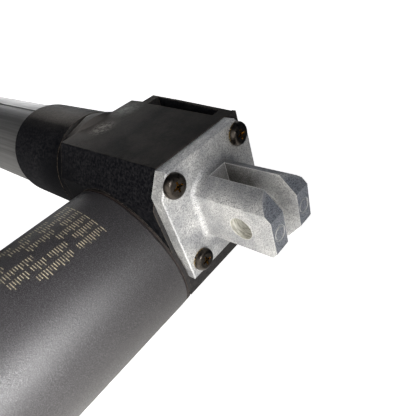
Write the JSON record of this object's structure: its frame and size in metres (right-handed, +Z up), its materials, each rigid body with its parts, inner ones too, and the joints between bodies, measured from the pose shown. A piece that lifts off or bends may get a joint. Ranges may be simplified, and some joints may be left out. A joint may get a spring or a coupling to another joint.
{
  "type": "linear actuator",
  "caption": "Electric linear actuator with a right-angle gear motor, a cast clevis bolted to a moulded gearbox, a round aluminium tube and an extending rod with a clevis end, shown retracted.",
  "frame": {"origin": "centre of the rear clevis bore, on the spindle axis", "axes": "+X along the spindle towards the rod end, +Y towards the motor and along the clevis bores, +Z up"},
  "size_m": [0.4042, 0.183, 0.0838],
  "materials": {
    "housing_plastic": "fine moulded texture",
    "socket_plastic": "smooth moulded",
    "clevis_aluminium": "bead-blasted casting",
    "tube_aluminium": "satin anodised extrusion",
    "motor_paint": "fine-texture powder coat",
    "dark_screw": "black nickel",
    "zinc_screw": "zinc plated",
    "gasket_rubber": "matt",
    "seal_rubber": "matt",
    "turned_steel": "turned",
    "bearing_steel": "ground",
    "rod_chrome": "hard chrome",
    "cap_plastic": "moulded",
    "nut_plastic": "smooth moulded",
    "wheel_bronze": "machined bronze",
    "bush_bronze": "sintered bronze",
    "contact_brass": "tinned",
    "magnet_ferrite": "sintered",
    "core_laminations": "stacked laminations",
    "winding_copper": "varnished wire",
    "brush_carbon": "carbon",
    "card_board": "circuit board",
    "card_plastic": "moulded resin"
  },
  "bodies": {
    "housing": {"rear_clevis": "clevis_aluminium", "clevis_screws": "dark_screw", "gearbox_housing": "housing_plastic", "socket_insert": "socket_plastic", "socket_pins": "contact_brass", "outer_tube": "tube_aluminium", "guide_cap": "cap_plastic", "cap_screws": "zinc_screw", "wiper_seal": "seal_rubber", "limit_strip": "card_board", "limit_switches": "socket_plastic", "bearing_outer_rings": "bearing_steel", "bearing_balls": "bearing_steel", "bearing_carrier": "cap_plastic", "motor_gasket": "gasket_rubber", "motor_can": "motor_paint", "motor_bolts": "zinc_screw", "motor_front_plate": "turned_steel", "motor_magnets": "magnet_ferrite", "brush_card": "card_plastic", "brushes": "brush_carbon", "worm_bush_front": "bush_bronze", "worm_bush_tail": "bush_bronze", "motor_bush_rear": "bush_bronze"},
    "armature": {"motor_shaft": "turned_steel", "worm": "turned_steel", "armature_core": "core_laminations", "armature_windings": "winding_copper", "commutator": "contact_brass"},
    "spindle": {"lead_screw": "turned_steel", "worm_wheel": "wheel_bronze", "wheel_pin": "bearing_steel", "spindle_nut": "zinc_screw", "bearing_inner_rings": "bearing_steel"},
    "rod": {"inner_rod": "rod_chrome", "drive_nut": "nut_plastic", "front_clevis": "clevis_aluminium", "rod_pin": "bearing_steel"}
  },
  "joints": [
    {"name": "armature_spin", "type": "hinge", "parent": "housing", "child": "armature", "pos_m": [0.059, 0, -0.022], "axis": [0, 1, 0], "range_deg": [0, 304199.8]},
    {"name": "spindle_spin", "type": "hinge", "parent": "housing", "child": "spindle", "pos_m": [0.059, 0, 0], "axis": [1, 0, 0], "range_deg": [-11700, 0]},
    {"name": "rod_slide", "type": "slide", "parent": "housing", "child": "rod", "axis": [1, 0, 0], "range_m": [0, 0.195]}
  ],
  "couplings": [
    {"joint": "spindle_spin", "follows": "armature_spin", "ratio": -0.038462},
    {"joint": "rod_slide", "follows": "armature_spin", "m_per_rad": 0.000036728}
  ]
}
